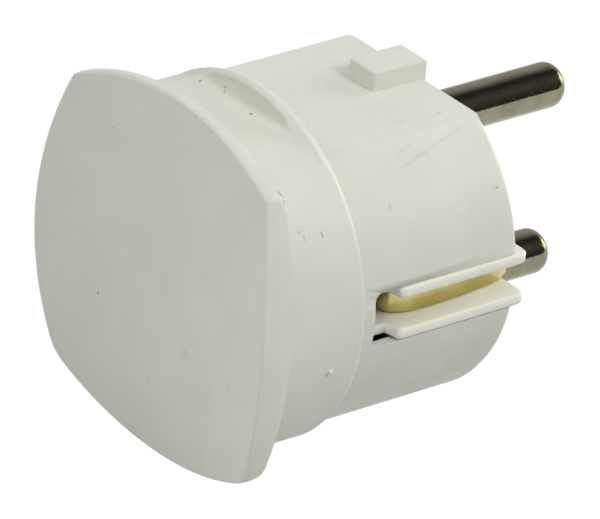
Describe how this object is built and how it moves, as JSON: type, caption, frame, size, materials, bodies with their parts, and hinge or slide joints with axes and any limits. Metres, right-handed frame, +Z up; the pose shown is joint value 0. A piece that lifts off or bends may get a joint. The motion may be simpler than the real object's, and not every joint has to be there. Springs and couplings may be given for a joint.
{
  "type": "earthed plug adapter",
  "caption": "Round earthed mains plug with a blank domed grip plate, finger flats on its collar, side earth contacts and straight round pins for a recessed wall socket.",
  "frame": {"origin": "middle of the plug's overall length, on its long axis", "axes": "+Y along the pins and out of the plug, +Z up in the plane of the pins, +X towards one earth contact"},
  "size_m": [0.0382, 0.0512, 0.039],
  "materials": {
    "white_plastic": "satin moulded",
    "cream_plastic": "satin moulded",
    "nickel_plate": "bright plated",
    "brass_strip": "rolled",
    "zinc_steel": "zinc plated"
  },
  "bodies": {
    "root": {"housing": "white_plastic", "pin_carrier": "cream_plastic", "line_pin": "nickel_plate", "neutral_pin": "nickel_plate", "earth_strap": "brass_strip", "fixing_screw": "zinc_steel", "line_terminal_screw": "zinc_steel", "neutral_terminal_screw": "zinc_steel", "earth_terminal_screw": "zinc_steel", "earth_clamp_washer": "zinc_steel"}
  },
  "joints": []
}
